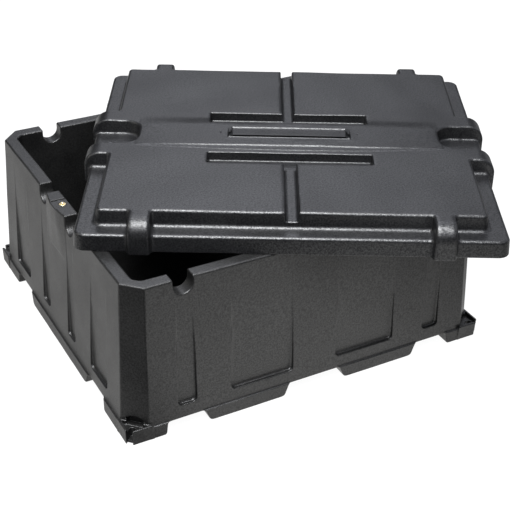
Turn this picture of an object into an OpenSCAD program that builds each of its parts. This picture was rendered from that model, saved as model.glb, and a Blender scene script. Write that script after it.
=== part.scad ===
// Battery box for a bank of two large batteries: a double-wall tub and a loose, screw-down lid.
// Millimetres, +Z up, origin on the ground under the middle of the tub. The lid lies turned on the rim.

/* [Tub] */
// Outside width across the rim
tub_w = 640; // [630:1:680]
// Outside depth across the rim
tub_d = 584; // [576:1:620]
// Height from the ground to the rim
tub_h = 270; // [262:1:300]
// Flat width of the rim
rim_t = 23; // [22:0.5:25]
// Thickness of the moulded walls
wall = 4; // [3.5:0.5:4.5]
// How far each side wall leans outwards from rim to base
lean_x = 11.7; // [10:0.1:13]
// How far the front and back walls lean outwards from rim to base
lean_y = 14.7; // [13:0.1:16]
// Leg of the corner chamfers at the rim
chamfer_top = 28.6; // [24:0.2:32]
// Leg of the corner chamfers at the base
chamfer_base = 34; // [30:0.5:38]

/* [Cable notches] */
// Width of each cable notch
notch_w = 33; // [26:1:34]
// Depth of each cable notch below the rim
notch_depth = 27; // [24:1:30]
// Distance of the front and back notches from the middle
notch_x = 229; // [226:1:232]
// Distance of the side notches from the middle
notch_y = 60; // [58:1:62]

/* [Lid] */
// Outside width of the lid's skirt
lid_w = 668; // [664:1:712]
// Outside depth of the lid's skirt
lid_d = 612; // [608:1:656]
// Height of the flange above the skirt's lower edge
flange_z = 28; // [26:1:32]
// Height of the raised top above the skirt's lower edge
top_z = 55; // [52:1:60]
// Width of the raised top
top_w = 600; // [596:1:606]
// Depth of the raised top
top_d = 546; // [542:1:552]
// Thickness of the lid
lid_t = 3.5; // [3:0.5:4]
// How far the lid lies to the right of the tub's middle
lid_x = 92; // [60:1:100]
// How far the lid lies behind the tub's middle
lid_y = -38; // [-60:1:-20]
// Turn of the lid on the rim, degrees
lid_turn = -28.5; // [-34:0.5:-20]

/* [Fasteners] */
// Distance of the brass inserts from the middle
insert_x = 308; // [306:0.5:310]
// Outside radius of a brass insert
insert_r = 6; // [5.5:0.5:7]
// Length of a brass insert
insert_len = 20; // [16:1:24]
// Radius of a lid screw
screw_r = 3; // [2.5:0.5:4]

/* [Hidden] */
$fn = 72;
e = 0.01;
floor_t = 6;
gap_z = 20;
bay_lean = -4;
bay_w = tub_w / 2 - rim_t;
bay_d = tub_d / 2 - rim_t;
notch_r = notch_w / 2;
notch_z = tub_h - notch_depth + notch_r;
panel_y = tub_d / 2 + 3;
panel_x = tub_w / 2 + 2;
panel_z = 44;
boss_half = notch_y - notch_r - 0.5;
foot_z = 30;
foot_w = 11;
foot_top = 20.6;
slot_floor = top_z - 16;
hood_u = 232;
hood_v = 63;
hood_half = 18;
side_hood_half = 21;
hood_face = lid_d / 2 + 10;
side_face = lid_w / 2 + 9;
hood_r = 26;
pocket_half = hood_v - side_hood_half;
pocket_in = 257;
screw_len = 20;
washer_t = 1.2;
head_r = 6;
head_h = 2.9;
proud = 3;

// ---------- shared shapes ----------

// Everything beyond a wall plane that stands at distance d at the rim and d + lean at the ground.
module beyond(d, lean) {
    translate([d + lean, -700, 0]) rotate([0, -atan(lean / tub_h), 0]) translate([0, 0, -120]) cube([300, 1400, 700]);
}

// Block with four leaning walls and four chamfered corners, from z0 to z1.
module leaning_block(hx, hy, lx, ly, c_top, c_base, z0, z1) {
    dc_top = (hx + hy - c_top) / sqrt(2);
    dc_base = (hx + lx + hy + ly - c_base) / sqrt(2);
    difference() {
        translate([-hx - 40, -hy - 40, z0]) cube([2 * hx + 80, 2 * hy + 80, z1 - z0]);
        for (a = [0, 180]) rotate([0, 0, a]) beyond(hx, lx);
        for (a = [90, 270]) rotate([0, 0, a]) beyond(hy, ly);
        for (a = [45, 135, 225, 315]) rotate([0, 0, a]) beyond(dc_top, dc_base - dc_top);
    }
}

module outer_block(z0, z1, off = 0) {
    leaning_block(tub_w / 2 - off, tub_d / 2 - off, lean_x, lean_y, chamfer_top - off * 0.586, chamfer_base - off * 0.586, z0, z1);
}

module bay_block(z0, z1, off = 0) {
    leaning_block(bay_w + off, bay_d + off, bay_lean, bay_lean, 10 + off * 0.586, 10 + off * 0.586, z0, z1);
}

// U-shaped channel along Y through the front or back wall, rim open.
module channel(r, len) {
    translate([0, -len / 2, notch_z]) rotate([-90, 0, 0]) cylinder(r = r, h = len);
    translate([-r, -len / 2, notch_z]) cube([2 * r, len, tub_h - notch_z + 2]);
}

// The eight notch positions: two on each wall.
module at_notches() {
    for (sx = [-1, 1], sy = [-1, 1]) translate([sx * notch_x, sy * (tub_d / 2 - rim_t / 2), 0]) children();
    for (sx = [-1, 1], sy = [-1, 1]) translate([sx * (tub_w / 2 - rim_t / 2), sy * notch_y, 0]) rotate([0, 0, 90]) children();
}

// Trapezoid pad under a wall, wider at the top, along X at the front.
module pad(x0, x1, slope, y0, y1) {
    translate([0, y1, 0]) rotate([90, 0, 0]) linear_extrude(y1 - y0)
        polygon([[x0 - slope, gap_z + 2], [x0, 0], [x1, 0], [x1 + slope, gap_z + 2]]);
}

// Panels as [start, end] along the wall.
front_panels = [[-246, -213], [-153, -40], [40, 153], [213, 246]];
side_panels = [[-217, -147], [-77, -43], [43, 77], [147, 217]];

module panels(grow, deep) {
    for (sy = [0, 180], p = front_panels) rotate([0, 0, sy])
        translate([p[0] - grow, -panel_y - 60, panel_z - grow]) cube([p[1] - p[0] + 2 * grow, 60 + deep, tub_h - 30 - panel_z + grow]);
    for (sy = [0, 180], p = side_panels) rotate([0, 0, sy])
        translate([-panel_x - 60, p[0] - grow, panel_z - grow]) cube([60 + deep, p[1] - p[0] + 2 * grow, tub_h - 30 - panel_z + grow]);
}

// ---------- tub ----------

// Boss bulge outside the left wall, between the two side notches.
module bulge() {
    difference() {
        translate([0, 0, 190]) linear_extrude(tub_h - 190)
            polygon([[-tub_w / 2 + 6, -boss_half + 2], [-tub_w / 2 - 0.5, -boss_half + 2], [-tub_w / 2 - 5.5, -24], [-tub_w / 2 - 5.5, 24], [-tub_w / 2 - 0.5, boss_half - 2], [-tub_w / 2 + 6, boss_half - 2]]);
        translate([-tub_w / 2 - 5.5, -60, tub_h - 32]) rotate([0, -4.2, 0]) translate([-30, 0, -120]) cube([30, 120, 120]);
    }
}

// One corner foot at the front left: shallow tray outside the chamfer, with a deep slot at the tip.
module foot() {
    fx = tub_w / 2 + lean_x;
    fy = tub_d / 2 + lean_y;
    c = chamfer_base;
    difference() {
        intersection() {
            translate([-fx, -fy, 0]) linear_extrude(foot_z) polygon([[-5, -5], [c + 9, -5], [-5, c + 9]]);
            leaning_block(tub_w / 2 + proud, tub_d / 2 + proud, lean_x, lean_y, 3, 3, 0, foot_z);
        }
        translate([-fx, -fy, foot_top]) linear_extrude(foot_z) polygon([[2, 2], [c - 2, 2], [2, c - 2]]);
        translate([-fx, -fy, 0]) rotate([0, 0, 45]) {
            translate([-10, -foot_w / 2, -1]) cube([16.5, foot_w, foot_z + 2]);
            translate([0, -foot_w / 2, 4.5]) cube([14, foot_w, foot_z]);
            translate([14, 0, 4.5]) cylinder(r = foot_w / 2, h = foot_z);
        }
    }
}

// Arched niche in the chamfer above the foot, narrower where it meets the foot's tray.
module niche() {
    fx = tub_w / 2 + lean_x;
    fy = tub_d / 2 + lean_y;
    translate([-fx, -fy, 0]) rotate([0, 0, 45]) {
        intersection() {
            translate([21, 0, 14]) rotate([0, 90, 0]) cylinder(r = 23, h = 14);
            translate([0, -30, foot_z + 0.5]) cube([60, 60, 60]);
        }
        translate([21, -14, foot_top + 0.5]) cube([14, 28, 11]);
    }
}

module corners() {
    for (m = [[1, 1], [-1, 1], [1, -1], [-1, -1]]) scale([m[0], m[1], 1]) children();
}

module tub() {
    color([0.16, 0.16, 0.165]) difference() {
        union() {
            // outer shell with the rim on top, open below
            difference() {
                outer_block(gap_z, tub_h);
                difference() {
                    outer_block(gap_z - 10, tub_h - wall, wall);
                    panels(wall, wall);
                }
            }
            // inner tub
            bay_block(0, tub_h - 1, wall);
            // solid corners behind the niches
            intersection() {
                outer_block(0, 46);
                corners() translate([-tub_w / 2 - 20, -tub_d / 2 - 20, gap_z]) cube([74, 74, 26]);
            }
            // feet and pads, standing a little proud of the walls
            intersection() {
                outer_block(0, gap_z + 1, -proud);
                union() {
                    corners() translate([-tub_w / 2 - 20, -tub_d / 2 - 20, 0]) cube([tub_w / 2 + 20 - 268, tub_d / 2 + 20 - 209, gap_z + 1]);
                    for (s = [0, 180]) rotate([0, 0, s]) {
                        pad(-192, -57, 9, -tub_d / 2 - 30, -tub_d / 2 + 30);
                        pad(57, 192, 9, -tub_d / 2 - 30, -tub_d / 2 + 30);
                    }
                    for (s = [90, 270]) rotate([0, 0, s]) pad(-130, 130, 9, -tub_w / 2 - 30, -tub_w / 2 + 30);
                }
            }
            corners() foot();
            // sleeves round the cable notches, and ribs between the walls
            intersection() {
                outer_block(gap_z, tub_h - 1);
                union() {
                    at_notches() channel(notch_r + wall, 60);
                    for (s = [0, 180]) rotate([0, 0, s]) for (x = [-165, 0, 165])
                        translate([x - 2, -tub_d / 2 - 20, gap_z]) cube([4, 45, tub_h]);
                    for (s = [90, 270]) rotate([0, 0, s]) for (x = [-112, 112])
                        translate([x - 2, -tub_w / 2 - 20, gap_z]) cube([4, 45, tub_h]);
                    for (s = [0, 180]) rotate([0, 0, s])
                        translate([-tub_w / 2 - 2, -16, tub_h - 40]) cube([32, 32, 40]);
                }
            }
            for (s = [0, 180]) rotate([0, 0, s]) bulge();
        }
        bay_block(floor_t, tub_h + 5);
        at_notches() channel(notch_r, 70);
        panels(0, 0);
        corners() niche();
        // shallow seat across each boss, and the insert's hole
        for (s = [-1, 1]) {
            translate([s * (tub_w / 2 - 8) - 20, -14, tub_h - 2]) cube([40, 28, 5]);
            translate([s * insert_x, 0, tub_h - 2 - insert_len]) cylinder(r = insert_r, h = insert_len + 4);
        }
    }
}

module insert(s) {
    color([0.80, 0.60, 0.28]) translate([s * insert_x, 0, tub_h - 2 - insert_len]) difference() {
        cylinder(r = insert_r, h = insert_len);
        translate([0, 0, 2]) cylinder(r = screw_r - 0.5, h = insert_len);
    }
}
module insert_left() insert(-1);
module insert_right() insert(1);

// ---------- lid ----------

module plate(w, d, r) {
    square([w - 2 * r, d], center = true);
    square([w, d - 2 * r], center = true);
    for (x = [-1, 1], y = [-1, 1]) translate([x * (w / 2 - r), y * (d / 2 - r)]) circle(r);
}

// Hood profile: flat top, rolled over and down to the skirt's lower edge.
module hood_profile(in, face, top, r, low) {
    translate([in, low]) square([face - r - in, top - low]);
    translate([in, low]) square([face - in, top - r - low]);
    translate([face - r, top - r]) circle(r);
}

module hood(in, face, top, r, low, half) {
    rotate([90, 0, 90]) translate([0, 0, -half]) linear_extrude(2 * half) hood_profile(in, face, top, r, low);
}

module lid_hoods(off, low) {
    for (s = [0, 180]) rotate([0, 0, s]) for (u = [-hood_u, hood_u])
        translate([u, 0, 0]) hood(top_d / 2 - 12 + off * 2, hood_face - off, top_z - off, hood_r - off, low, hood_half - off);
    for (s = [90, 270]) rotate([0, 0, s]) for (v = [-hood_v, hood_v])
        translate([v, 0, 0]) hood(top_w / 2 - 12 + off * 2, side_face - off, top_z - off, hood_r - off, low, side_hood_half - off);
}

// Screw pockets at both sides, open outwards.
module pockets(grow, z) {
    r = 22;
    for (s = [0, 180]) rotate([0, 0, s]) translate([0, 0, z]) linear_extrude(60) {
        translate([pocket_in - grow, -pocket_half + r]) square([120, 2 * (pocket_half - r)]);
        translate([pocket_in + r, -pocket_half - grow]) square([120, 2 * (pocket_half + grow)]);
        for (y = [-1, 1]) translate([pocket_in + r, y * (pocket_half - r)]) circle(r + grow);
    }
}

// Two deep cross slots and the centre groove that runs from each slot to the lid's edge.
module slots(grow, z) {
    for (v = [[38, 80], [-110, -73]]) translate([-137 - grow, v[0] - grow, z]) cube([274 + 2 * grow, v[1] - v[0] + 2 * grow, 60]);
    for (v = [[60, 320], [-320, -90]]) translate([-10.5 - grow, v[0], z]) cube([21 + 2 * grow, v[1] - v[0], 60]);
}

module lid_place() {
    translate([lid_x, lid_y, tub_h]) rotate([0, 0, lid_turn]) children();
}

module lid() {
    color([0.18, 0.18, 0.185]) lid_place() difference() {
        union() {
            linear_extrude(flange_z) plate(lid_w, lid_d, 14);
            linear_extrude(top_z) plate(top_w, top_d, 8);
            for (s = [-1, 1]) translate([s > 0 ? 0 : -lid_w / 2 - 4, -pocket_half - 4, 0]) cube([lid_w / 2 + 4, 2 * pocket_half + 8, flange_z]);
            lid_hoods(0, 0);
            // raised band that carries the label field
            translate([-256, -48, top_z - 1]) cube([512, 92, 3]);
        }
        difference() {
            union() {
                translate([0, 0, -1]) linear_extrude(flange_z - lid_t + 1) plate(lid_w - 2 * lid_t, lid_d - 2 * lid_t, 10.5);
                translate([0, 0, -1]) linear_extrude(top_z - lid_t + 1) plate(top_w - 2 * lid_t, top_d - 2 * lid_t, 5);
                for (s = [-1, 1]) translate([s > 0 ? 0 : -lid_w / 2 - 0.5, -pocket_half - 2, -1]) cube([lid_w / 2 + 0.5, 2 * pocket_half + 4, flange_z - lid_t + 1]);
                lid_hoods(lid_t, -1);
            }
            intersection() {
                slots(lid_t, slot_floor - lid_t);
                linear_extrude(top_z) plate(top_w, top_d, 8);
            }
            pockets(lid_t, flange_z - lid_t);
            // ribs inside the skirt that centre the lid on the tub
            for (s = [0, 180]) rotate([0, 0, s]) for (x = [-120, 120])
                translate([x - 2, -lid_d / 2 + 1, 2]) cube([4, 11, flange_z]);
            for (s = [90, 270]) rotate([0, 0, s]) for (x = [-170, 170])
                translate([x - 2, -lid_w / 2 + 1, 2]) cube([4, 11, flange_z]);
        }
        intersection() {
            slots(0, slot_floor);
            translate([0, 0, 0]) linear_extrude(top_z + 20) square([800, top_d + 4], center = true);
        }
        pockets(0, flange_z);
        // blank label field and the two small holes beside it
        translate([-104, -23, top_z + 0.6]) cube([208, 46, 5]);
        for (s = [-1, 1]) {
            translate([s * 117, -4, top_z - 1.5]) cylinder(r = 1.6, h = 10);
            translate([s * insert_x, 0, 0]) cylinder(r = screw_r + 0.5, h = 60);
        }
    }
}

module screw(s) {
    color([0.72, 0.73, 0.74]) lid_place() translate([s * insert_x, 0, flange_z + washer_t]) difference() {
        union() {
            translate([0, 0, -screw_len - 1]) cylinder(r = screw_r, h = screw_len + 2);
            cylinder(r = head_r, h = 1);
            translate([0, 0, 1]) cylinder(r1 = head_r, r2 = head_r - 2, h = head_h - 1);
        }
        translate([0, 0, 1]) cylinder(r = 2.3, h = 6, $fn = 6);
    }
}
module screw_left() screw(-1);
module screw_right() screw(1);

module washer(s) {
    color([0.72, 0.73, 0.74]) lid_place() translate([s * insert_x, 0, flange_z]) difference() {
        cylinder(r = head_r + 2, h = washer_t);
        translate([0, 0, -1]) cylinder(r = screw_r + 0.3, h = 4);
    }
}
module washer_left() washer(-1);
module washer_right() washer(1);

tub();
lid();
insert_left();
insert_right();
screw_left();
screw_right();
washer_left();
washer_right();
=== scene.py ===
import math

import bpy
import numpy as np
from mathutils import Matrix, Vector


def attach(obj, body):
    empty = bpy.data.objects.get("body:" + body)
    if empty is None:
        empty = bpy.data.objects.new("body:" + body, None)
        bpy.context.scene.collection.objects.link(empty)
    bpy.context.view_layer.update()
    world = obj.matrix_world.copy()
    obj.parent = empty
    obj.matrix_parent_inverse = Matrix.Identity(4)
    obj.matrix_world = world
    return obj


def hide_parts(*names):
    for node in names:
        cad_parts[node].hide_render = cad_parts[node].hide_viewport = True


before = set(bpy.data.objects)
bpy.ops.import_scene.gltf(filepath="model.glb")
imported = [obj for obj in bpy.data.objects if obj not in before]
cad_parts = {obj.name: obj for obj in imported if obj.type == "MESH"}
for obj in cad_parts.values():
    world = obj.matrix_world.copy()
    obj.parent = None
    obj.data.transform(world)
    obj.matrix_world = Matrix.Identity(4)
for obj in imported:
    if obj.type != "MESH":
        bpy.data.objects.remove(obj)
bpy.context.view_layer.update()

MM = 0.001
S2 = math.sqrt(2.0)


# ---------------------------------------------------------------- fields
# Distance fields in millimetres, negative inside the plastic. Every edge and corner is rounded by the field itself.


def rint(a, b, r):
    """Intersection with a rounded edge."""
    if r <= 0:
        return np.maximum(a, b)
    u, v = np.maximum(a + r, 0), np.maximum(b + r, 0)
    return np.minimum(-r, np.maximum(a, b)) + np.sqrt(u * u + v * v)


def runi(a, b, r):
    """Union with a fillet."""
    return -rint(-a, -b, r)


def rdif(a, b, r):
    """a without b, with a rounded edge."""
    return rint(a, -b, r)


def rbox(x, y, hx, hy, r):
    qx, qy = np.abs(x) - (hx - r), np.abs(y) - (hy - r)
    return np.hypot(np.maximum(qx, 0), np.maximum(qy, 0)) + np.minimum(np.maximum(qx, qy), 0) - r


def ramp(x, a, b):
    t = np.clip((x - a) / (b - a), 0, 1)
    return t * t * (3 - 2 * t)


def waves(a, b, size):
    """The slow waviness of a moulded plastic skin."""
    return size * (
        0.55 * np.sin(a / 33 + 0.7) * np.sin(b / 41 + 1.9)
        + 0.30 * np.sin(a / 19 + b / 47 + 0.3)
        + 0.25 * np.sin(b / 23 - a / 61 + 2.2)
    )


# ---------------------------------------------------------------- lid, in its own frame, z from the skirt's lower edge

HOOD_U, HOOD_V = 232.0, 63.0
LID_T = 3.5


def lid_top(u, v):
    """Height of the lid's upper skin."""
    au = np.abs(u)
    ends = np.sqrt(np.clip(1 - (au / 260) ** 2, 0, 1) + 0.0004) - 0.02
    back = ramp(v, 62, 26)
    step2 = -50.5 - 13.0 * np.clip(1 - (au / 262) ** 2, 0, 1) ** 0.8
    band = ends * back * (2.4 * ramp(v, -52.0, -48.2) + 1.3 * ramp(v, step2 - 1.4, step2 + 1.4))
    d = rbox(u, v, 104, 23, 2)
    frame_up = 1.5 * ramp(d, 1.6, -1.0) * ramp(v, 20, -18)
    field = -2.0 * ramp(d, -5.3, -8.0)
    bar = 0.7 * ramp(np.abs(d + 5.3), 1.8, 0.3) * ramp(v, 20, -18)
    return 55.0 + band + frame_up + field + bar + waves(u, v, 0.55) * ramp(d, 0, 14)


def lid_body(u, v, z):
    """The lid's outer skin, open downwards."""
    au, av = np.abs(u), np.abs(v)
    top = lid_top(u, v)
    skirt = rint(rbox(u, v, 334 - 0.1, 306 - 0.1, 19) + 1.9 * z / 28 + waves(u + v, z * 3 + u - v, 0.08), z - 28 - waves(v, u, 0.10), 5.0)
    swell = rint(rint(au - 338 + 1.5 * z / 28, av - 46, 5), z - 28, 5.0)
    skirt = runi(skirt, swell, 4)
    plan = rbox(u, v, 299.5, 272.5, 8) - 2.6 * (55 - z) / 27
    hood1 = np.maximum(np.abs(au - HOOD_U) - 16.6 - 1.1 * (55 - z) / 55, 258 - av)
    hood2 = np.maximum(np.abs(av - 61.6) - 21.6 - 0.8 * (55 - z) / 55, 285 - au)
    plan = runi(runi(plan, hood1, 5), hood2, 5)
    roll = rint(rint(av - 316, z - top, 27), au - 343, 28)
    upper = rint(plan, roll, 5.0)
    pocket = rint(rbox(au - 357, v, 100, 42 - 1.2 * (55 - z) / 27, 29), 20 - z, 0)
    upper = rdif(upper, pocket, 4.4)
    body = runi(upper, skirt, 6.5)
    slot_b = rbox(u, v - 59, 137 - 0.9 * (55 - z) / 16, 21 - 0.9 * (55 - z) / 16, 2.2)
    slot_f = rbox(u, v + 91.5, 137 - 0.9 * (55 - z) / 16, 18.5 - 0.9 * (55 - z) / 16, 2.2)
    groove = np.maximum(au - 10.6 + 0.9 * (55 - z) / 16, np.minimum(66 - v, v + 98))
    cut = rint(np.minimum(np.minimum(slot_b, slot_f), groove), 39 - z, 2.4)
    return rdif(body, cut, 2.4)


def lid_field(u, v, z):
    body = lid_body(u, v, z)
    skin = np.abs(body + LID_T / 2) - LID_T / 2
    au, av = np.abs(u), np.abs(v)
    rib1 = np.maximum(np.maximum(np.abs(au - 120) - 2, np.maximum(294 - av, av - 304)), np.maximum(2 - z, z - 26))
    rib2 = np.maximum(np.maximum(np.abs(av - 170) - 2, np.maximum(322 - au, au - 332)), np.maximum(2 - z, z - 26))
    skin = runi(skin, np.minimum(rib1, rib2), 1.0)
    skin = rint(skin, -z, 1.3)
    dots = np.maximum(np.hypot(au - 117, v + 4) - 1.6, 53.6 - z)
    holes = np.hypot(au - 308, v) - 3.5
    return rdif(rdif(skin, dots, 0.35), holes, 0.5)


# ---------------------------------------------------------------- tub


def tub_sides(ax, ay, z, x, y):
    k = 1 - z / 270
    dx = (ax - 320 - 11.7 * k) * 0.999
    dy = (ay - 292 - 14.7 * k) * 0.9985
    dc = (ax + ay) / S2 - (583.4 / S2 + (604.4 - 583.4) / S2 * k)
    side = rint(rint(dx, dy, 1), dc, 1.5)
    side = side + waves(x + 1.7 * y, z * 1.3 + 40, 0.32) + 0.20
    bx = 325.4 - np.maximum(238 - z, 0) * math.tan(math.radians(4.2))
    slope = (ax - 320.4 - (41.5 - ay) * 0.2857) / 1.04
    swell = rint(rint(rint(ax - bx, slope, 4), ay - 43, 1), 188 - z, 1)
    return runi(side, swell, 5)


def tub_notches(ax, ay, z):
    low = np.minimum(z - 259.5, 0)
    front = np.maximum(np.hypot(ax - 229, low) - 16.5, 250 - ay)
    sides = np.maximum(np.hypot(ay - 60, low) - 16.5, 280 - ax)
    return np.minimum(front, sides)


def tub_panels(ax, ay, z):
    best, lean = None, 3.0 * np.clip(1 - z / 240, 0, 1)
    for p0, p1 in ((40, 153), (213, 246)):
        d = rint(295 + lean - ay, rint(np.abs(ax - (p0 + p1) / 2) - (p1 - p0) / 2 + 0.012 * (z - 44), 44 - z, 8.0), 3.0)
        best = d if best is None else np.minimum(best, d)
    for p0, p1 in ((43, 77), (147, 217)):
        d = rint(322 + lean - ax, rint(np.abs(ay - (p0 + p1) / 2) - (p1 - p0) / 2 + 0.012 * (z - 44), 44 - z, 8.0), 3.0)
        best = np.minimum(best, d)
    return best


def tub_field(x, y, z):
    ax, ay = np.abs(x), np.abs(y)
    k = 1 - z / 270
    sides = tub_sides(ax, ay, z, x, y)
    panels = tub_panels(ax, ay, z)
    notches = tub_notches(ax, ay, z)
    outer = rint(rdif(sides, panels, 1.2), z - 269.9 - waves(x, y, 0.08), 3.4)
    outer = rint(outer, 20 - z, 2.2)
    bay = rint(rint(ax - 297 + 4 * k, ay - 269 + 4 * k, 1), (ax + ay) / S2 - (556 - 8 * k) / S2, 1.5)
    hollow = np.maximum(np.maximum(sides + 4, z - 266), 4 - bay)
    hollow = np.maximum(np.maximum(hollow, 4 - panels), 4 - notches)
    keep = np.maximum(np.abs(ay - 0) - 16, np.maximum(290 - ax, 230 - z))
    ribs = np.minimum(np.minimum(np.abs(ax - 165), ax) - 2, 1e3 + 0 * ay)
    ribs = np.minimum(np.maximum(ribs, 262 - ay), np.maximum(np.abs(ay - 112) - 2, 286 - ax))
    blocks = np.maximum(np.maximum(266 - ax, 238 - ay), z - 46)
    hollow = np.maximum(hollow, -np.minimum(np.minimum(keep, ribs), blocks))
    t = rdif(outer, hollow, 0.8)
    inner = np.maximum(rint(bay - 4, -z, 3), z - 268)
    t = runi(t, inner, 1.5)
    # pads under the walls, standing a little proud of them
    low = -0.8 - z
    pad1 = rint(rint(57 - 9 * z / 22 - ax, ax - 192 - 9 * z / 22, 0), low, 6)
    pad1 = np.maximum(pad1, 262 - ay)
    pad2 = np.maximum(rint(ay - 130 - 9 * z / 22, low, 6), 290 - ax)
    pad3 = rint(np.maximum(268 - 3 * z / 22 - ax, 209 - 3 * z / 22 - ay), low, 5)
    pads = rint(np.minimum(np.minimum(pad1, pad2), pad3), sides - 3, 2.4)
    t = runi(t, np.maximum(pads, z - 21.5), 4.0)
    # corner feet, flaring outwards
    a0, b0 = 331.6 - ax, 306.6 - ay
    s, q = (a0 + b0) / S2, (a0 - b0) / S2
    flare = 2.8 + 0.8 * np.clip(z, 0, 30) / 30
    a1, b1 = a0 + flare, b0 + flare
    foot = rint(rint(-a1, -b1, 3.5), s - 38 / S2, 0)
    foot = rint(foot, z - 27, 1.9)
    cup = rint(rint(rint(4.6 - a1, 4.6 - b1, 2), s - 33 / S2, 1), 20.6 - z, 1)
    slit = np.maximum(np.hypot(q, np.maximum(s - 14, 0)) - 5.2, np.minimum(4.9 - z, s - 6.5))
    t = runi(t, foot, 1.5)
    t = rdif(rdif(t, np.maximum(cup, s - 30), 1.2), slit, 1.4)
    arch = np.maximum(np.hypot(q, z - 14) - 23, np.maximum(np.maximum(21 - s, s - 34), 30.5 - z))
    nook = np.maximum(np.maximum(np.abs(q) - 14, np.maximum(21 - s, s - 34)), np.maximum(21 - z, z - 32))
    t = rdif(t, np.minimum(arch, nook), 1.4)
    # bay, notches, boss seat, insert hole
    t = rdif(t, rint(bay, 6 - z, 9), 3.4)
    t = rdif(t, notches, 2.3)
    seat = np.maximum(np.maximum(ay - 14, 290 - ax), 268 - z)
    t = rdif(t, seat, 1.0)
    hole = np.maximum(np.hypot(ax - 308, y) - 6.0, 247.5 - z)
    t = rdif(t, hole, 0.2)
    return rint(t, -z, 1.2)


# ---------------------------------------------------------------- meshing


def lines(ranges, lo, hi, gap):
    """Grid lines: fine ones inside each (start, end, step), and at most gap apart elsewhere."""
    pts = [lo, hi]
    for a, b, step in ranges:
        n = max(1, int(round((b - a) / step)))
        pts += [a + (b - a) * i / n for i in range(n + 1)]
    pts = sorted(p for p in pts if lo <= p <= hi)
    kept = [pts[0]]
    for p in pts[1:]:
        if p - kept[-1] > 0.3:
            kept.append(p)
    out = [kept[0]]
    for p in kept[1:]:
        n = max(1, int(math.ceil((p - out[-1]) / gap)))
        a = out[-1]
        out += [a + (p - a) * i / n for i in range(1, n + 1)]
    return np.array(out)


def mirrored(half):
    return np.concatenate([-half[:0:-1], half])


def nets(F, X, Y, Z):
    """Surface nets over an uneven grid: one vertex in each cell that the surface crosses."""
    S = F < 0
    c = np.zeros((len(X) - 1, len(Y) - 1, len(Z) - 1), np.uint8)
    for a in (0, 1):
        for b in (0, 1):
            for d in (0, 1):
                c += S[a : a + c.shape[0], b : b + c.shape[1], d : d + c.shape[2]]
    act = (c > 0) & (c < 8)
    I, J, K = np.nonzero(act)
    ids = np.full(c.shape, -1, np.int32)
    ids[act] = np.arange(len(I), dtype=np.int32)
    corners = [(a, b, d) for a in (0, 1) for b in (0, 1) for d in (0, 1)]
    vals = {q: F[I + q[0], J + q[1], K + q[2]].astype(float) for q in corners}
    acc, n = np.zeros((len(I), 3)), np.zeros(len(I))
    for p in corners:
        for axis in range(3):
            if p[axis]:
                continue
            q = tuple(1 if m == axis else p[m] for m in range(3))
            fa, fb = vals[p], vals[q]
            hit = (fa < 0) != (fb < 0)
            t = np.where(hit, fa / np.where(hit, fa - fb, 1), 0)
            for m in range(3):
                acc[:, m] += np.where(hit, t if m == axis else p[m], 0)
            n += hit
    acc /= n[:, None]
    P = np.stack([X[I] + acc[:, 0] * (X[I + 1] - X[I]), Y[J] + acc[:, 1] * (Y[J + 1] - Y[J]), Z[K] + acc[:, 2] * (Z[K + 1] - Z[K])], 1)
    quads = []
    for axis in range(3):
        o1, o2 = (axis + 1) % 3, (axis + 2) % 3
        lo, hi = [slice(None)] * 3, [slice(None)] * 3
        lo[axis], hi[axis] = slice(None, -1), slice(1, None)
        for m in (o1, o2):
            lo[m] = hi[m] = slice(1, -1)
        A, B = S[tuple(lo)], S[tuple(hi)]
        at = list(np.nonzero(A != B))
        inside = A[tuple(at)]
        at[o1], at[o2] = at[o1] + 1, at[o2] + 1

        def cell(d1, d2):
            g = list(at)
            g[o1], g[o2] = at[o1] - d1, at[o2] - d2
            return ids[tuple(g)]

        quad = np.stack([cell(1, 1), cell(0, 1), cell(0, 0), cell(1, 0)], 1)
        quad[~inside] = quad[~inside][:, ::-1]
        quads.append(quad)
    return P, np.concatenate(quads)


def gradient(f, P, h):
    x, y, z = P.T
    return np.stack([f(x + h, y, z) - f(x - h, y, z), f(x, y + h, z) - f(x, y - h, z), f(x, y, z + h) - f(x, y, z - h)], 1) / (2 * h)


def settle(f, P, rounds=4):
    """Moves each vertex on to the surface and gives the surface's own normal there."""
    for _ in range(rounds):
        g = gradient(f, P, 0.04)
        g2 = np.maximum((g * g).sum(1), 0.2)
        step = (f(*P.T) / g2)[:, None] * g
        size = np.sqrt((step * step).sum(1))
        P = P - step * np.minimum(1, 1.5 / np.maximum(size, 1e-9))[:, None]
    g = gradient(f, P, 0.12)
    return P, g / np.maximum(np.sqrt((g * g).sum(1)), 1e-9)[:, None]


def make_mesh(name, P, N, quads):
    me = bpy.data.meshes.new(name)
    me.vertices.add(len(P))
    me.vertices.foreach_set("co", P.astype(np.float32).ravel())
    me.loops.add(quads.size)
    me.loops.foreach_set("vertex_index", quads.astype(np.int32).ravel())
    me.polygons.add(len(quads))
    me.polygons.foreach_set("loop_start", np.arange(0, quads.size, 4, dtype=np.int32))
    me.update(calc_edges=True)
    me.validate()
    me.polygons.foreach_set("use_smooth", np.ones(len(me.polygons), bool))
    me.normals_split_custom_set_from_vertices(N.astype(np.float32))
    me.update()
    o = bpy.data.objects.new(name, me)
    bpy.context.scene.collection.objects.link(o)
    return o


LID_X, LID_Y, LID_Z, LID_TURN = 92.0, -38.0, 270.0, math.radians(-28.5)


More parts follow.
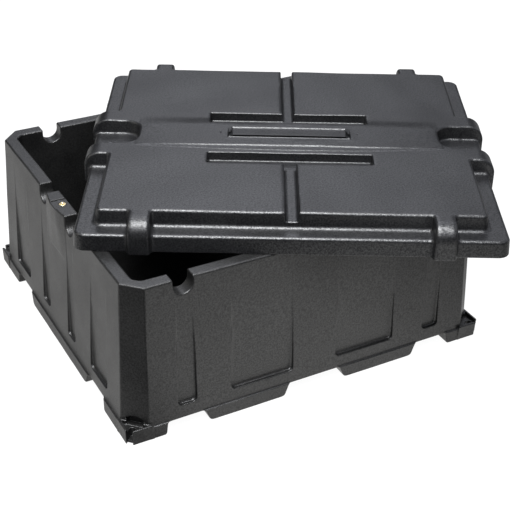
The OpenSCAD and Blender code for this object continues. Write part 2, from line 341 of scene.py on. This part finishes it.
def build_lid():
    U = mirrored(lines([(8.6, 12.6, 0.5), (91, 107, 0.8), (114.6, 119.4, 0.7), (134.6, 139.2, 0.5), (209, 220, 0.8), (244.5, 285, 1.5), (244.5, 255.5, 0.8), (290, 311, 0.75), (311, 327, 1.8), (327, 345, 0.75)], 0, 346.5, 11))
    V = lines(
        [(-318, -299, 0.75), (-299, -281, 1.5), (-281, -266, 0.75), (-112.4, -107.6, 0.5), (-91, -79, 0.8), (-75.4, -46, 0.9), (-47, -36, 0.8), (-36, -19, 1.6), (-26, -10, 0.8), (-7, 7, 0.9),
         (10, 26, 0.8), (26, 36, 1.6), (36, 47, 0.6), (77.8, 91, 0.7), (266, 281, 0.75), (281, 299, 1.5), (299, 318, 0.75)], -319.5, 319.5, 11)
    Z = lines([(-1.2, 2.4, 0.45), (22, 35, 0.75), (35, 43, 0.7), (43, 50, 1.6), (50, 58.6, 0.6)], -2, 59.5, 5)
    half = (len(U) - 1) // 2
    u = U[half:].astype(np.float32)
    F = lid_field(u[:, None, None], V.astype(np.float32)[None, :, None], Z.astype(np.float32)[None, None, :])
    F = np.concatenate([F[:0:-1], F], 0)
    P, quads = nets(F, U, V, Z)
    P, N = settle(lid_field, P)
    c, s = math.cos(LID_TURN), math.sin(LID_TURN)
    R = np.array([[c, -s, 0], [s, c, 0], [0, 0, 1]])
    P = P @ R.T + np.array([LID_X, LID_Y, LID_Z])
    return make_mesh("lid_shell", P * MM, N @ R.T, quads)


def build_tub():
    X = mirrored(lines([(37, 43, 0.9), (46, 59, 1.8), (150, 156, 0.9), (162, 168, 1.6), (190, 203, 1.8), (208, 250, 1.2), (264, 272, 1.2), (288, 301, 0.9), (301, 314, 1.5), (314, 339, 0.9)], 0, 341, 12))
    Y = mirrored(lines([(1, 3, 1), (12, 16, 0.8), (22, 48, 1.6), (40, 80, 1.2), (110, 114, 1.2), (128, 141, 1.6), (144, 150, 0.9), (206, 220, 0.9), (236, 240, 1.5), (258, 273, 0.9), (273, 288, 1.5), (288, 314, 0.9)], 0, 316, 12))
    Z = lines([(-1.2, 3, 0.6), (3, 8, 0.8), (8, 16, 2.0), (16, 24, 0.8), (24, 50, 1.1), (185, 236, 4.0), (236, 264, 1.3), (264, 271.4, 0.55)], -2, 272.5, 9)
    hx, hy = (len(X) - 1) // 2, (len(Y) - 1) // 2
    x, y = X[hx:].astype(np.float32), Y[hy:].astype(np.float32)
    F = tub_field(x[:, None, None], y[None, :, None], Z.astype(np.float32)[None, None, :])
    F = np.concatenate([F[:0:-1], F], 0)
    F = np.concatenate([F[:, :0:-1], F], 1)
    P, quads = nets(F, X, Y, Z)
    P, N = settle(tub_field, P)
    return make_mesh("tub_shell", P * MM, N, quads)


# ---------------------------------------------------------------- small turned parts


def lathe(name, profile, segments, place, shape=None):
    """Turns (radius, height) points in millimetres round Z; shape(radius, height, angle, index) may move a point."""
    verts, faces = [], []
    for i, (r, h) in enumerate(profile):
        for k in range(segments):
            a = 2 * math.pi * k / segments
            rr, hh = shape(r, h, a, i) if shape else (r, h)
            verts.append((rr * math.cos(a), rr * math.sin(a), hh))
    n = len(profile)
    for i in range(n):
        for k in range(segments):
            k2, i2 = (k + 1) % segments, (i + 1) % n
            faces.append((i * segments + k, i * segments + k2, i2 * segments + k2, i2 * segments + k))
    me = bpy.data.meshes.new(name)
    me.from_pydata([(place @ Vector(v)) * MM for v in verts], [], faces)
    me.update()
    for p in me.polygons:
        p.use_smooth = True
    me.set_sharp_from_angle(angle=math.radians(38))
    o = bpy.data.objects.new(name, me)
    bpy.context.scene.collection.objects.link(o)
    return o


def arc(cx, cy, r, a0, a1, n):
    return [(cx + r * math.cos(math.radians(a0 + (a1 - a0) * i / n)), cy + r * math.sin(math.radians(a0 + (a1 - a0) * i / n))) for i in range(n + 1)]


def lid_point(u, v, z):
    c, s = math.cos(LID_TURN), math.sin(LID_TURN)
    return Vector((LID_X + u * c - v * s, LID_Y + u * s + v * c, LID_Z + z))


def thread(pitch, depth):
    def shape(r, h, a, i):
        return r - depth * abs(2 * (((h / pitch) + a / (2 * math.pi)) % 1) - 1), h

    return shape


def insert_piece(name, sign):
    # knurled brass bush with a countersunk, threaded bore; the profile runs up the bore and down the outside
    bore = [(2.5, 2.2 + 0.25 * i) for i in range(64)]
    profile = [(0.01, 2.2)] + bore + [(2.6, 18.8), (3.5, 19.72)] + arc(5.35, 19.25, 0.5, 90, 0, 5) + [(5.9, 18.2), (5.9, 12.6), (5.3, 12.2), (5.3, 10.6), (5.9, 10.2), (5.9, 1.6), (5.0, 0.2), (0.01, 0.2)]
    outer = len(bore) + 8

    def shape(r, h, a, i):
        if 1 <= i <= len(bore):
            return r - 0.3 * abs(2 * (((h / 1.0) + a / (2 * math.pi)) % 1) - 1), h
        if i >= outer and r > 5.5 and h < 18.1:
            return r - 0.22 * (0.5 + 0.5 * math.cos(32 * a)), h
        return r, h

    return lathe(name, profile, 128, Matrix.Translation((sign * 308.0, 0, 248.0)), shape)


def washer_piece(name, sign):
    p = lid_point(sign * 308.0, 0, 28.0)
    profile = arc(7.6, 0.36, 0.32, -90, 0, 4) + arc(7.6, 0.84, 0.32, 0, 90, 4) + arc(3.62, 0.92, 0.24, 90, 180, 4) + arc(3.62, 0.28, 0.24, 180, 270, 4)
    return lathe(name, profile, 72, Matrix.Translation(p))


def screw_piece(name, sign):
    p = lid_point(sign * 308.0, 0, 29.2)
    shank = [(2.95, -20.0 + 0.25 * i) for i in range(76)]
    profile = [(0.01, -20.9), (2.2, -20.9)] + shank + [(2.98, -0.8), (2.98, 0.04), (5.6, 0.04)] + arc(5.66, 0.34, 0.28, -90, 0, 3) + arc(5.66, 0.72, 0.28, 0, 50, 2)
    profile += [(5.75 * math.cos(math.radians(4 + 7 * i)), 0.86 + 0.9 * math.sin(math.radians(4 + 7 * i))) for i in range(8)]
    hexes = len(profile)
    profile += [(2.75, 1.6), (2.3, 1.4), (2.25, 0.5), (0.01, 0.42)]

    def shape(r, h, a, i):
        if 2 <= i < 2 + len(shank):
            return r - 0.5 * abs(2 * (((h / 1.0) + a / (2 * math.pi)) % 1) - 1), h
        if i >= hexes and r > 2 and h < 1.5:
            return r * 0.866 / math.cos((a % (math.pi / 3)) - math.pi / 6), h
        return r, h

    return lathe(name, profile, 144, Matrix.Translation(p), shape)


# ---------------------------------------------------------------- materials


def nodes_of(name):
    m = bpy.data.materials.new(name)
    m.use_nodes = True
    t = m.node_tree
    for n in list(t.nodes):
        t.nodes.remove(n)
    out = t.nodes.new("ShaderNodeOutputMaterial")
    b = t.nodes.new("ShaderNodeBsdfPrincipled")
    t.links.new(b.outputs["BSDF"], out.inputs["Surface"])
    return m, t, b


def noise(t, coords, scale, detail, rough=0.5):
    n = t.nodes.new("ShaderNodeTexNoise")
    n.inputs["Scale"].default_value = scale
    n.inputs["Detail"].default_value = detail
    n.inputs["Roughness"].default_value = rough
    t.links.new(coords, n.inputs["Vector"])
    return n.outputs["Fac"]


def spread(t, value, low, high, from_low=0.3, from_high=0.7):
    n = t.nodes.new("ShaderNodeMapRange")
    n.inputs["From Min"].default_value = from_low
    n.inputs["From Max"].default_value = from_high
    n.inputs["To Min"].default_value = low
    n.inputs["To Max"].default_value = high
    t.links.new(value, n.inputs["Value"])
    return n.outputs["Result"]


def mix(t, fac, a, b):
    n = t.nodes.new("ShaderNodeMix")
    n.data_type = "RGBA"
    t.links.new(fac, n.inputs["Factor"])
    n.inputs["A"].default_value = (*a, 1)
    n.inputs["B"].default_value = (*b, 1)
    return n.outputs["Result"]


def add(t, a, b, kb):
    n = t.nodes.new("ShaderNodeMath")
    n.operation = "MULTIPLY_ADD"
    t.links.new(b, n.inputs[0])
    n.inputs[1].default_value = kb
    t.links.new(a, n.inputs[2])
    return n.outputs[0]


def plastic(name, dark, light, rough_low, rough_high, grit):
    m, t, b = nodes_of(name)
    co = t.nodes.new("ShaderNodeTexCoord").outputs["Object"]
    blotch = noise(t, co, 7.0, 3.0, 0.55)
    cloud = noise(t, co, 38.0, 4.0, 0.6)
    fine = noise(t, co, 360.0, 3.0, 0.7)
    both = add(t, add(t, blotch, cloud, 0.35), fine, 0.4)
    t.links.new(mix(t, spread(t, both, 0, 1, 0.70, 1.06), dark, light), b.inputs["Base Color"])
    t.links.new(spread(t, both, rough_low, rough_high, 0.70, 1.06), b.inputs["Roughness"])
    t.links.new(spread(t, fine, 0.5 - grit, 0.5 + grit, 0.36, 0.64), b.inputs["Specular IOR Level"])
    b.inputs["IOR"].default_value = 1.5
    grain = noise(t, co, 900.0, 2.0, 0.6)
    cells = t.nodes.new("ShaderNodeTexVoronoi")
    cells.inputs["Scale"].default_value = 420.0
    t.links.new(co, cells.inputs["Vector"])
    relief = add(t, add(t, grain, cells.outputs["Distance"], 0.7), fine, 0.45)
    bump = t.nodes.new("ShaderNodeBump")
    bump.inputs["Strength"].default_value = 0.30
    bump.inputs["Distance"].default_value = 0.0005
    t.links.new(relief, bump.inputs["Height"])
    t.links.new(bump.outputs["Normal"], b.inputs["Normal"])
    return m


def metal(name, color, tint, rough, scale):
    m, t, b = nodes_of(name)
    co = t.nodes.new("ShaderNodeTexCoord").outputs["Object"]
    n1 = noise(t, co, scale, 4.0, 0.6)
    t.links.new(mix(t, spread(t, n1, 0, 1), color, tint), b.inputs["Base Color"])
    b.inputs["Metallic"].default_value = 1.0
    t.links.new(spread(t, n1, rough * 0.8, rough * 1.3), b.inputs["Roughness"])
    bump = t.nodes.new("ShaderNodeBump")
    bump.inputs["Strength"].default_value = 0.15
    bump.inputs["Distance"].default_value = 0.0001
    t.links.new(noise(t, co, scale * 4, 2.0), bump.inputs["Height"])
    t.links.new(bump.outputs["Normal"], b.inputs["Normal"])
    return m


tub_plastic = plastic("tub_plastic", (0.0050, 0.0050, 0.0050), (0.0092, 0.0091, 0.0089), 0.32, 0.42, 0.16)
lid_plastic = plastic("lid_plastic", (0.0052, 0.0053, 0.0058), (0.0095, 0.0097, 0.0104), 0.29, 0.39, 0.28)
brass = metal("insert_brass", (0.62, 0.50, 0.28), (0.76, 0.66, 0.42), 0.28, 900.0)
steel = metal("screw_steel", (0.56, 0.57, 0.58), (0.72, 0.73, 0.74), 0.26, 1400.0)


# ---------------------------------------------------------------- assembly


def dress(o, material, body, slot, *nodes):
    o.data.materials.append(material)
    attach(o, body)
    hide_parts(*nodes)
    return o


dress(build_tub(), tub_plastic, "box", "tub_plastic", "tub")
dress(build_lid(), lid_plastic, "cover", "lid_plastic", "lid")
dress(insert_piece("insert_bush_left", -1), brass, "box", "insert_brass", "insert_left")
dress(insert_piece("insert_bush_right", 1), brass, "box", "insert_brass", "insert_right")
dress(washer_piece("washer_ring_left", -1), steel, "screw_l", "screw_steel", "washer_left")
dress(washer_piece("washer_ring_right", 1), steel, "screw_r", "screw_steel", "washer_right")
dress(screw_piece("lid_screw_left", -1), steel, "screw_l", "screw_steel", "screw_left")
dress(screw_piece("lid_screw_right", 1), steel, "screw_r", "screw_steel", "screw_right")


# ---------------------------------------------------------------- camera, floor and light

yaw, pitch, roll = 0.504508556, -0.555148944, 0.0220930233
right = Vector((math.cos(yaw), -math.sin(yaw), 0))
ahead = Vector((math.sin(yaw) * math.cos(pitch), math.cos(yaw) * math.cos(pitch), math.sin(pitch)))
up = right.cross(ahead)
r2 = math.cos(roll) * right + math.sin(roll) * up
u2 = -math.sin(roll) * right + math.cos(roll) * up
cam_data = bpy.data.cameras.new("photo_camera")
cam_data.sensor_width = 36.0
cam_data.lens = 1177.97843 / 512 * 36.0
cam_data.clip_start, cam_data.clip_end = 0.05, 60
cam = bpy.data.objects.new("photo_camera", cam_data)
place = Matrix((r2, u2, -ahead)).transposed().to_4x4()
place.translation = Vector((-0.837602164, -1.61416908, 1.21131489))
cam.matrix_world = place
bpy.context.scene.collection.objects.link(cam)
bpy.context.scene.camera = cam


def lamp(name, where, aim, size, power, color=(1, 1, 1), size_y=None):
    data = bpy.data.lights.new(name, "AREA")
    data.shape = "RECTANGLE"
    data.size, data.size_y = size, size_y or size
    data.energy = power
    data.color = color
    o = bpy.data.objects.new(name, data)
    o.location = where
    o.rotation_mode = "QUATERNION"
    o.rotation_quaternion = (Vector(aim) - Vector(where)).to_track_quat("-Z", "Y")
    bpy.context.scene.collection.objects.link(o)
    return o


def floor_plane(name, z):
    me = bpy.data.meshes.new(name)
    reach = 14.0
    me.from_pydata([(-reach, -reach, 0), (reach, -reach, 0), (reach, reach, 0), (-reach, reach, 0)], [], [(0, 1, 2, 3)])
    o = bpy.data.objects.new(name, me)
    o.location.z = z
    bpy.context.scene.collection.objects.link(o)
    m, t, b = nodes_of(name + "_white")
    b.inputs["Base Color"].default_value = (0.08, 0.08, 0.08, 1)
    b.inputs["Roughness"].default_value = 0.9
    b.inputs["Specular IOR Level"].default_value = 0.0
    b.inputs["Emission Color"].default_value = (1, 1, 1, 1)
    b.inputs["Emission Strength"].default_value = 0.97
    me.materials.append(m)
    return o, t, b


# The white floor that shows, and the softer light that a floor throws back at the box: dimmer away from it and at its left front corner.
floor, _, _ = floor_plane("floor", -0.0004)
floor.visible_diffuse = floor.visible_glossy = False
# The same white goes on behind the floor's edge, for low views. It neither lights nor shades the box.
shell = bpy.data.meshes.new("backdrop")
turns, rings = 48, 24
points = [(13 * math.sin(math.pi * i / rings) * math.cos(2 * math.pi * j / turns), 13 * math.sin(math.pi * i / rings) * math.sin(2 * math.pi * j / turns), 13 * math.cos(math.pi * i / rings)) for i in range(rings + 1) for j in range(turns)]
quads = [(i * turns + j, i * turns + (j + 1) % turns, (i + 1) * turns + (j + 1) % turns, (i + 1) * turns + j) for i in range(rings) for j in range(turns)]
shell.from_pydata(points, [], quads)
backdrop = bpy.data.objects.new("backdrop", shell)
bpy.context.scene.collection.objects.link(backdrop)
backdrop.visible_diffuse = backdrop.visible_glossy = backdrop.visible_transmission = backdrop.visible_shadow = False
bm_white, _, bw = nodes_of("backdrop_white")
bw.inputs["Base Color"].default_value = (0, 0, 0, 1)
bw.inputs["Roughness"].default_value = 1.0
bw.inputs["Specular IOR Level"].default_value = 0.0
bw.inputs["Emission Color"].default_value = (1, 1, 1, 1)
bw.inputs["Emission Strength"].default_value = 1.0
shell.materials.append(bm_white)

bounce, ft, fb = floor_plane("floor_bounce", -0.0008)
bounce.visible_camera = False
co = ft.nodes.new("ShaderNodeTexCoord").outputs["Object"]
split = ft.nodes.new("ShaderNodeSeparateXYZ")
ft.links.new(co, split.inputs[0])
across = ft.nodes.new("ShaderNodeValToRGB")
stops = [(-1.0, 0.55), (-0.82, 0.92), (-0.46, 0.95), (-0.33, 0.92), (-0.20, 0.50), (1.0, 0.46)]
elements = across.color_ramp.elements
while len(elements) < len(stops):
    elements.new(0.5)
for e, (at, value) in zip(elements, stops):
    e.position = (at + 1) / 2
    e.color = (value, value * 0.995, value * 0.98, 1)
ft.links.new(spread(ft, split.outputs["Y"], 0, 1, -1, 1), across.inputs["Fac"])
bigger = ft.nodes.new("ShaderNodeMath")
bigger.operation = "MAXIMUM"
ft.links.new(spread(ft, split.outputs["X"], 0.02, 1.0, -0.40, -0.18), bigger.inputs[0])
ft.links.new(spread(ft, split.outputs["Y"], 0.02, 1.0, -0.40, -0.20), bigger.inputs[1])
level = ft.nodes.new("ShaderNodeMath")
level.operation = "MULTIPLY"
ft.links.new(bigger.outputs[0], level.inputs[0])
ft.links.new(spread(ft, split.outputs["X"], 1.40, 0.50, 0.15, 0.6), level.inputs[1])
ft.links.new(across.outputs["Color"], fb.inputs["Emission Color"])
ft.links.new(level.outputs[0], fb.inputs["Emission Strength"])

world = bpy.data.worlds.new("studio")
bpy.context.scene.world = world
world.use_nodes = True
wt = world.node_tree
wco = wt.nodes.new("ShaderNodeTexCoord").outputs["Generated"]
wsplit = wt.nodes.new("ShaderNodeSeparateXYZ")
wt.links.new(wco, wsplit.inputs[0])
sideways = wt.nodes.new("ShaderNodeVectorMath")
sideways.operation = "DOT_PRODUCT"
wt.links.new(wco, sideways.inputs[0])
sideways.inputs[1].default_value = (0.891, -0.454, 0)


def product(t, a, b):
    n = t.nodes.new("ShaderNodeMath")
    n.operation = "MULTIPLY"
    t.links.new(a, n.inputs[0])
    t.links.new(b, n.inputs[1])
    return n.outputs[0]


# A wide soft panel behind the box, brighter towards its top and fading at both sides.
left_fade = spread(wt, sideways.outputs["Value"], 0.12, 1.0, -0.27, -0.04)
right_fade = spread(wt, sideways.outputs["Value"], 1.0, 0.22, -0.01, 0.25)
rise = spread(wt, wsplit.outputs["Z"], 0.05, 3.7, 0.37, 0.60)
far_side = spread(wt, wsplit.outputs["X"], 0.0, 0.55, 0.78, 0.95)
wt.links.new(add(wt, product(wt, product(wt, left_fade, right_fade), rise), far_side, 1.0), wt.nodes["Background"].inputs["Strength"])
wt.nodes["Background"].inputs["Color"].default_value = (0.93, 0.95, 1.03, 1)

lamp("key", (-0.55, -0.75, 2.35), (0, 0, 0.2), 1.35, 125, (0.98, 0.99, 1.0))
lamp("side", (-2.1, 0.5, 1.3), (-0.2, 0, 0.15), 0.9, 7, (1.0, 0.95, 0.84))

scene = bpy.context.scene
scene.view_settings.view_transform = "Standard"
scene.view_settings.look = "None"
scene.view_settings.exposure = 0.0
